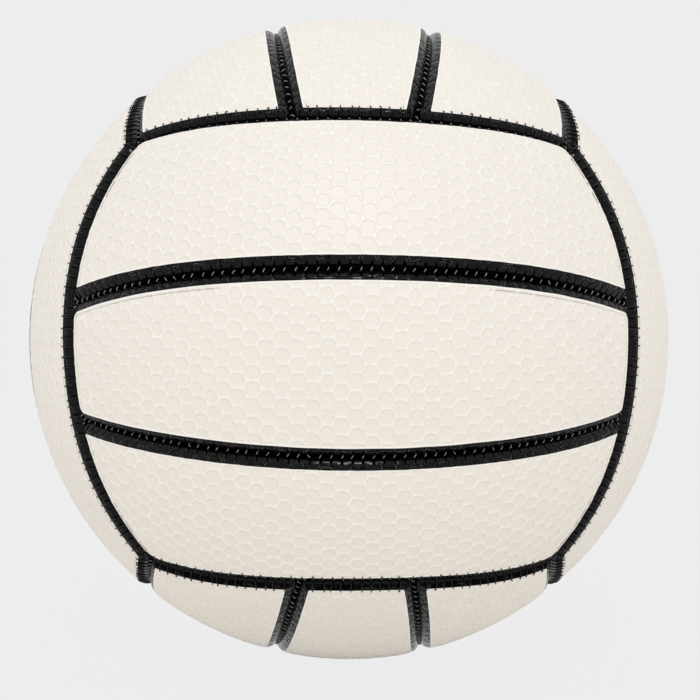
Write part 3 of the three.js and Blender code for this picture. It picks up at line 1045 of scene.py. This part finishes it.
def threadFinish():
    # dark in the seam, and painted paler as a glint on the stitches
    finish = newFinish("seamThread")
    grain = finish.noise(thread["grainSize"], 3.0)
    least, added = thread["paintedGlintSpread"]
    paintedGlint = finish.value("paintedGlint") * (least + added * grain)
    roughness, grainRoughness = thread["roughness"]
    sockets = {
        "Base Color": finish.blend(paintedGlint, thread["dark"], thread["pale"]),
        "Roughness": roughness + grainRoughness * grain,
        "Specular IOR Level": thread["gloss"],
        "Normal": finish.bump(grain, *thread["grainBump"]),
    }
    return finish.surface(finish.node("ShaderNodeBsdfPrincipled", {}, sockets))


leatherMaterial = leatherFinish()
threadMaterial = threadFinish()
foamMaterial = plainFinish("padFoam", foam)
bladderMaterial = plainFinish("bladderRubber", bladderRubber)
valveMaterial = plainFinish("valveRubber", valveRubber)
print("materials made")


# Covers


def faceTurn(along, across, out):
    return np.array([axisOf[along], axisOf[across], axisOf[out]], float).T


halfTurn = np.diag([-1.0, -1.0, 1.0])


def everyStrip():
    # a number, the face, the place and name there, and the turn from a strip's own axes into place
    for faceNumber, (face, along, across, names) in enumerate(faces):
        for place, stripName in enumerate(names):
            turn = faceTurn(along, across, face) @ (halfTurn if place == 0 else np.eye(3))
            yield 10 * faceNumber + place, face, place, stripName, turn


def makeCovers():
    for number, face, place, stripName, turn in everyStrip():
        atFront = face == "front"
        steps = cover["frontSteps" if atFront else "steps"]
        corners = cover["frontCorners" if atFront else "otherCorners"][kindOf(place)]
        random = np.random.default_rng(cover["seed"] + number)
        name = "cover" + face.capitalize() + stripName.capitalize()
        atValve = (face, place) == valveStrip
        mesh = coverMesh(name, stripOf(face, place), corners, random, steps, turn, atValve)
        addPiece(name, mesh, leatherMaterial, f"cover_{face}_{stripName}")
    print("covers made")


makeCovers()


# Foam pads, under the covers

pad = {
    "steps": (60, 16),
    # distance from the middle of the seam, and depth under the ball's surface
    "profile": ((3.9, 1.45), (3.4, 1.62), (2.9, 2.5), (2.35, 3.9), (2.15, 4.5), (2.35, 4.75)),
}


def padMesh(name, kind, turn):
    # a grid over each end of the profile, and a ring of the strip's own border at every place between them
    insets, depths = zip(*pad["profile"])
    grids = [stripGrid(strips[kind], pad["steps"], (inset,)) for inset in insets]
    layers = [grid * (ballRadius - depth) for grid, depth in zip(grids, depths)]
    layers[1:-1] = [ringOf(layer) for layer in layers[1:-1]]
    index = numberLayers(layers)
    order = [ringOf(index[0]), *index[1:-1], ringOf(index[-1])]
    groups = [gridFaces(index[0]), gridFaces(index[-1])[:, ::-1]]
    groups += [wallFaces(upper, lower) for upper, lower in zip(order, order[1:])]
    return buildMesh(name, pulled(joinLayers(layers) @ turn.T), groups)


def makePads():
    for number, face, place, stripName, turn in everyStrip():
        name = "pad" + face.capitalize() + stripName.capitalize()
        mesh = padMesh(name, kindOf(place), turn)
        piece = addPiece(name, mesh, foamMaterial, f"pad_{face}_{stripName}")
        if (face, place) == valveStrip:
            drillHole(piece, valve["padHoleRadius"])
    print("pads made")


# Seam threads: a twisted cord in each groove, stitches across it, and loops over the black edges beside it


def bodyMesh(paths, radii):
    # closed tubes along paths of shape (tubes, places, 3), with radii of shape (tubes, places, sides)
    sides = radii.shape[-1]
    tangent = unit(np.gradient(paths, axis=1))
    side = unit(np.cross(tangent, unit(paths)))
    up = np.cross(side, tangent)
    angle = np.arange(sides) * math.tau / sides
    around = np.cos(angle)[:, None] * side[..., None, :] + np.sin(angle)[:, None] * up[..., None, :]
    points = paths[..., None, :] + radii[..., None] * around
    index = np.arange(points.size // 3).reshape(points.shape[:-1])
    turned = np.roll(index, -1, axis=2)
    quads = np.stack([index[:, :-1], turned[:, :-1], turned[:, 1:], index[:, 1:]], axis=-1)
    ends = np.concatenate([index[:, 0, ::-1], index[:, -1]])
    return points.reshape(-1, 3), quads.reshape(-1, 4), ends


def seamPoints(curve, inside, t, across, height):
    # places beside a seam: t along it, then millimetres across it and over the ball's surface
    middle = curve(t)
    inward = unit(gradientOf(inside, middle))
    return unit(middle + inward * (across / ballRadius)[..., None]) * (ballRadius + height)[..., None]


def cordBody(curve, inside):
    # a tube deep in the groove, with a section of one wave to each ply that turns along it
    length = lengthOf(curve)
    count = int(length / thread["cordStep"])
    t = np.linspace(*thread["cordEnds"], count)
    still = np.zeros(count)
    path = seamPoints(curve, inside, t, still, still - thread["cordDepth"])[None]
    angle = np.arange(thread["cordSides"]) * math.tau / thread["cordSides"]
    twist = t[:, None] * length / thread["twistLength"] * math.tau
    waves = np.cos(thread["plies"] * (angle - twist)) - 1
    return bodyMesh(path, (thread["cordRadius"] * (1 + thread["plyDepth"] * waves))[None])


def varied(size, spread, count, random):
    return size * (thread[spread][0] + thread[spread][1] * random.random(count))


def stitchStarts(count, random):
    # even places along a seam, each moved by chance
    return (np.arange(count) + 0.5 + thread["unevenness"] * random.standard_normal(count)) / count


def stitchBody(curve, inside, count, random):
    # out of one roll, over the cord and into the next roll, slanting along the seam
    places, sides = thread["stitchPlaces"], thread["stitchSides"]
    share = np.linspace(-1, 1, places)
    reach = varied(thread["stitchReach"], "reachSpread", count, random)
    across = reach[:, None] * share
    slant = varied(thread["stitchSlant"], "slantSpread", count, random)
    slant = slant * np.where(random.random(count) < thread["strayStitches"], -1, 1)
    t = stitchStarts(count, random)[:, None] + slant[:, None] * share / count / stitchSpacing
    radius = varied(thread["stitchRadius"], "radiusSpread", count, random)
    dive, power = thread["stitchDive"]
    height = edgeHeight(np.maximum(np.abs(across), thread["stitchRest"]))
    height = height + radius[:, None] * thread["stitchRise"] - dive * np.abs(share) ** power
    path = seamPoints(curve, inside, np.clip(t, *thread["stitchEnds"]), across, height)
    return bodyMesh(path, np.broadcast_to(radius[:, None, None], (count, places, sides)))


def loopBody(curve, inside, count, side, band, random):
    # up from the groove, over the roll on one side, and down again just past its black edge
    places, sides = thread["loopPlaces"], thread["stitchSides"]
    share = np.linspace(0, 1, places)
    reach = band + varied(thread["loopPast"], "pastSpread", count, random)
    across = thread["loopStart"] + (reach[:, None] - thread["loopStart"]) * share
    bend = thread["loopBend"] * random.standard_normal(count)[:, None] * np.sin(math.pi * share)
    lean = thread["loopBend"] * random.standard_normal(count)[:, None] * share
    t = stitchStarts(count, random)[:, None] + (bend + lean) / count / stitchSpacing
    radius = varied(thread["loopRadius"], "loopRadiusSpread", count, random)
    rise, before, width = thread["loopKnot"]
    dive, divePower = thread["loopDive"]
    swell, swellPower = thread["loopSwell"]
    height = edgeHeight(across * cover["blackHalfBand"] / band) + radius[:, None] * thread["loopRise"]
    height = height + rise * mound(across, reach[:, None] - before, width) - dive * share**divePower
    path = seamPoints(curve, inside, np.clip(t, *thread["stitchEnds"]), side * across, height)
    radii = radius[:, None] * (1 + swell * share**swellPower)
    return bodyMesh(path, np.broadcast_to(radii[..., None], (count, places, sides)))


def threadBodies(face, random):
    # the tubes of one face's four seams, each kind with its share of painted glint
    paintedGlint = thread["paintedGlint"]
    bodies = []
    for side in (-1, 1):
        inner = (partial(middleSeam, side), partial(aboveMiddleSeam, side), middleStitches)
        outer = (partial(faceEnd, side), partial(insideStripEnd, side), endStitches)
        for curve, inside, count in (inner, outer):
            bodies.append((paintedGlint["cord"], cordBody(curve, inside)))
            bodies.append((paintedGlint["stitch"], stitchBody(curve, inside, count, random)))
        band = thread["bands"].get((face, side), cover["blackHalfBand"])
        for loopSide in thread["loopSides"][face]:
            bodies.append((paintedGlint["loop"], loopBody(*outer, loopSide, band, random)))
    return bodies


def makeThreads():
    for faceNumber, (face, along, across, names) in enumerate(faces):
        random = np.random.default_rng(thread["seed"] + faceNumber)
        bodies = threadBodies(face, random)
        counts = [len(body[0]) for paintedGlint, body in bodies]
        starts = np.cumsum([0] + counts)
        points = np.concatenate([body[0] for paintedGlint, body in bodies]) @ faceTurn(along, across, face).T
        groups = [part + start for (paintedGlint, body), start in zip(bodies, starts) for part in body[1:]]
        mesh = buildMesh("seamThread" + face.capitalize(), pulled(points), groups)
        storeValue(mesh, "paintedGlint", np.repeat([paintedGlint for paintedGlint, body in bodies], counts))
        addPiece(mesh.name, mesh, threadMaterial, f"seam_thread_{face}")
    print("threads made")


# Bladder and valve, turned round +Y; profiles are radius and height, in order round the wall

valve = {
    "steps": 64,
    "sharpAngle": 40,
    "coverHoleRadius": 4.5,
    "padHoleRadius": 12.3,
    "holeSteps": 96,
    "holeHeights": (95, 110),
    "plug": (
        (0.8, 85.7), (2.2, 85.7), (2.42, 85.8), (2.5, 86.0), (2.5, 100.0), (4.1, 100.0), (4.2, 100.1),
        (4.2, 104.5), (4.16, 104.66), (4.06, 104.76), (3.9, 104.8), (3.3, 104.8), (3.2, 104.76),
        (3.12, 104.62), (3.02, 104.6), (2.92, 104.62), (2.84, 104.76), (2.74, 104.8), (1.7, 104.8),
        (1.58, 104.77), (1.48, 104.68), (0.8, 103.6),
    ),
    "housing": (
        (2.8, 88.7), (4.4, 88.7), (4.6, 88.9), (4.6, 97.9), (4.8, 98.4), (5.4, 98.5), (11.6, 98.5),
        (12, 98.8), (12, 99.3), (11.6, 99.5), (5, 99.68), (2.8, 99.68),
    ),
}

bladder = {
    "outerRadius": 99.04,
    "thickness": 0.8,
    "seatRadius": 13,  # of the flat round the valve
    "neckRadius": 4.9,
    "steps": 128,
    "rows": 64,
}


def turned(profile, steps, openAfter=()):
    # rings of the profile round +Y, each joined to the next and the last to the first, but for open rows
    radius, height = np.array(profile, float).T
    angle = np.arange(steps) * math.tau / steps
    aside, towards = radius[:, None] * np.sin(angle), radius[:, None] * np.cos(angle)
    points = np.stack(np.broadcast_arrays(aside, height[:, None], towards), axis=-1)
    index = np.arange(len(radius) * steps).reshape(len(radius), steps)
    groups = [
        wallFaces(index[row], index[(row + 1) % len(index)])
        for row in range(len(index)) if row not in openAfter
    ]
    return points.reshape(-1, 3), groups, index


def makeTurned(name, profile, material, replaced):
    points, groups, index = turned(profile, valve["steps"])
    mesh = buildMesh(name, points, groups)
    mesh.set_sharp_from_angle(angle=math.radians(valve["sharpAngle"]))
    addPiece(name, mesh, material, replaced)


def makeBladder():
    # two arcs from the valve's seat to the pole opposite, each closed there by a fan, and a short neck
    outer = bladder["outerRadius"]
    radii = (outer, outer - bladder["thickness"])
    seatHeight = math.sqrt(outer**2 - bladder["seatRadius"] ** 2)
    profile = []
    for radius in radii:
        start = math.asin(bladder["seatRadius"] / radius)
        turn = np.linspace(start, math.pi, bladder["rows"] + 1)[:-1]
        arc = np.stack([radius * np.sin(turn), radius * np.cos(turn)], axis=-1)
        profile.append(arc if radius == outer else arc[::-1])
    neck = [(bladder["neckRadius"], height) for height in (seatHeight - bladder["thickness"], seatHeight)]
    rows = bladder["rows"]
    points, groups, index = turned(np.concatenate([*profile, neck]), bladder["steps"], (rows - 1,))
    poles = np.array([[0, -radii[0], 0], [0, -radii[1], 0]])
    last, first = index[rows - 1], index[rows]
    outerFan = np.stack([last, np.full(len(last), len(points)), np.roll(last, -1)], axis=-1)
    innerFan = np.stack([np.full(len(first), len(points) + 1), first, np.roll(first, -1)], axis=-1)
    mesh = buildMesh("bladder", np.concatenate([points, poles]), [*groups, outerFan, innerFan])
    addPiece("bladder", mesh, bladderMaterial, "bladder")


def drillHole(piece, radius):
    # round hole along +Y, cut with a plain cylinder
    steps = valve["holeSteps"]
    angle = np.arange(steps) * math.tau / steps
    rim = np.stack([radius * np.cos(angle), 0 * angle, -radius * np.sin(angle)], axis=-1)
    points = np.concatenate([rim + [0, height, 0] for height in valve["holeHeights"]])
    low, high = np.arange(steps), np.arange(steps) + steps
    groups = [wallFaces(high, low), low[::-1][None], high[None]]
    cutter = bpy.data.objects.new("cutter", buildMesh("cutter", points, groups))
    bpy.context.scene.collection.objects.link(cutter)
    cut = piece.modifiers.new("hole", "BOOLEAN")
    cut.operation, cut.solver, cut.object = "DIFFERENCE", "MANIFOLD", cutter
    bpy.context.view_layer.update()
    drilled = bpy.data.meshes.new_from_object(piece.evaluated_get(bpy.context.evaluated_depsgraph_get()))
    piece.modifiers.clear()
    plain, piece.data = piece.data, drilled
    drilled.name = piece.name
    bpy.data.meshes.remove(plain)
    bpy.data.objects.remove(cutter)
    print(f"{piece.name}: hole cut, {len(drilled.polygons)} faces")


makePads()
makeThreads()
makeBladder()
makeTurned("valvePlug", valve["plug"], valveMaterial, "valve_plug")
makeTurned("valveHousing", valve["housing"], valveMaterial, "valve_housing")
drillHole(bpy.data.objects["coverBackMiddle"], valve["coverHoleRadius"])
print("thread, bladder and valve made")


# Camera, fitted to the outline and the seams of the photograph

camera = {
    "distance": 4.09,  # from the centre of the ball, in ball radii
    "sensorWidth": 36,
    "clip": (0.01, 20),
    "elevation": 3.5,
    "azimuth": -0.8,
    "roll": 0.25,
    "outlineRadius": 320.3,  # pixels, in a picture of 700 by 700
    "ballCentre": (349.0, 339.5),
    "pictureSize": 700,
}


def directionOf(azimuth, elevation):
    # azimuth counts from the front towards the right, and elevation from there upwards
    turn, rise = math.radians(azimuth), math.radians(elevation)
    return Vector((math.sin(turn) * math.cos(rise), -math.cos(turn) * math.cos(rise), math.sin(rise)))


def makeCamera():
    data = bpy.data.cameras.new("camera")
    piece = bpy.data.objects.new("camera", data)
    bpy.context.scene.collection.objects.link(piece)
    bpy.context.scene.camera = piece
    focal = camera["outlineRadius"] * math.sqrt(camera["distance"] ** 2 - 1)
    half = camera["pictureSize"] / 2
    data.sensor_width = camera["sensorWidth"]
    data.lens = focal / camera["pictureSize"] * data.sensor_width
    back = directionOf(camera["azimuth"], camera["elevation"])
    towardsBall = (-back).to_track_quat("-Z", "Y").to_matrix()
    roll = Matrix.Rotation(math.radians(camera["roll"]), 3, "Z")
    offCentreX = math.atan((camera["ballCentre"][0] - half) / focal)
    offCentreY = math.atan((half - camera["ballCentre"][1]) / focal)
    aim = Matrix.Rotation(offCentreX, 3, "Y") @ Matrix.Rotation(-offCentreY, 3, "X")
    turn = towardsBall @ roll @ aim
    place = back * camera["distance"] * ballRadius * millimetre
    piece.matrix_world = Matrix.Translation(place) @ turn.to_4x4()
    data.clip_start, data.clip_end = camera["clip"]
    print("camera placed")


makeCamera()


# Floor, backdrop and studio light

studio = {
    "background": (0.847, 0.847, 0.855, 1),
    "skyStrength": (0.83, 0.95),  # straight below and straight above
    "frontDip": 0.25,  # how much darker it is behind the camera
    "floorShade": (0.95, 0.925, 0.89, 1),
    "shadowShare": 0.02,  # of the floor's own shading that the picture shows under the ball
    "shadowFade": (0.25, 0.9),  # metres from the ball, where that ends
    "floorRadius": 1.6,
    "floorSteps": 96,
    "floorGap": 0.1,  # under the ball
    "keySoftbox": {
        "azimuth": 0,
        "elevation": 45,
        "distance": 1.3,
        "width": 0.32,
        "height": 0.22,
        "power": 3.7,
    },
}


def makeFloor():
    finish = newFinish("floorPaint")
    place = finish.place()
    distance = finish.node("ShaderNodeVectorMath", {"operation": "LENGTH"}, {0: place}, output="Value")
    seen = finish.looking()
    far = finish.step(distance, *studio["shadowFade"])
    glow = seen * (1 - studio["shadowShare"] * (1 - far))
    diffuse = finish.node("ShaderNodeBsdfDiffuse", {}, {"Color": studio["floorShade"]})
    emission = finish.node("ShaderNodeEmission", {}, {"Color": studio["background"], "Strength": 1.0})
    material = finish.surface(finish.node("ShaderNodeMixShader", {}, {0: glow, 1: diffuse, 2: emission}))
    steps = studio["floorSteps"]
    ring = np.arange(steps)
    turns = ring * math.tau / steps
    rim = np.stack([np.cos(turns), np.sin(turns), 0 * turns], axis=-1) * studio["floorRadius"] / millimetre
    points = np.concatenate([rim, [[0, 0, 0]]]) + np.array([0, 0, -ballRadius - studio["floorGap"]])
    fan = np.stack([ring, np.roll(ring, -1), np.full(steps, steps)], axis=-1)
    mesh = buildMesh("floor", points, [fan])
    mesh.materials.append(material)
    floor = bpy.data.objects.new("floor", mesh)
    bpy.context.scene.collection.objects.link(floor)


def makeWorld():
    world = bpy.data.worlds.new("studio")
    bpy.context.scene.world = world
    finish = Finish(world)
    way = finish.node("ShaderNodeTexCoord", output="Generated")
    height = finish.node("ShaderNodeSeparateXYZ", {}, {0: way}, output="Z")
    forward = finish.node("ShaderNodeSeparateXYZ", {}, {0: way}, output="Y").least(0.0)
    low, high = studio["skyStrength"]
    strength = height * ((high - low) / 2) + (high + low) / 2 - forward * forward * studio["frontDip"]
    lit = finish.node("ShaderNodeBackground", {}, {"Color": (1, 1, 1, 1), "Strength": strength})
    seen = finish.node("ShaderNodeBackground", {}, {"Color": studio["background"], "Strength": 1.0})
    mix = finish.node("ShaderNodeMixShader", {}, {0: finish.looking(), 1: lit, 2: seen})
    finish.node("ShaderNodeOutputWorld", {}, {"Surface": mix})


def addSoftbox(name, azimuth, elevation, distance, width, height, power):
    data = bpy.data.lights.new(name, "AREA")
    data.shape = "RECTANGLE"
    data.size, data.size_y = width, height
    data.energy = power
    lamp = bpy.data.objects.new(name, data)
    bpy.context.scene.collection.objects.link(lamp)
    place = directionOf(azimuth, elevation) * distance
    lamp.matrix_world = Matrix.Translation(place) @ place.to_track_quat("Z", "Y").to_matrix().to_4x4()


makeFloor()
makeWorld()
addSoftbox("keySoftbox", **studio["keySoftbox"])
bpy.context.scene.view_settings.view_transform = "Standard"
print("studio lit")
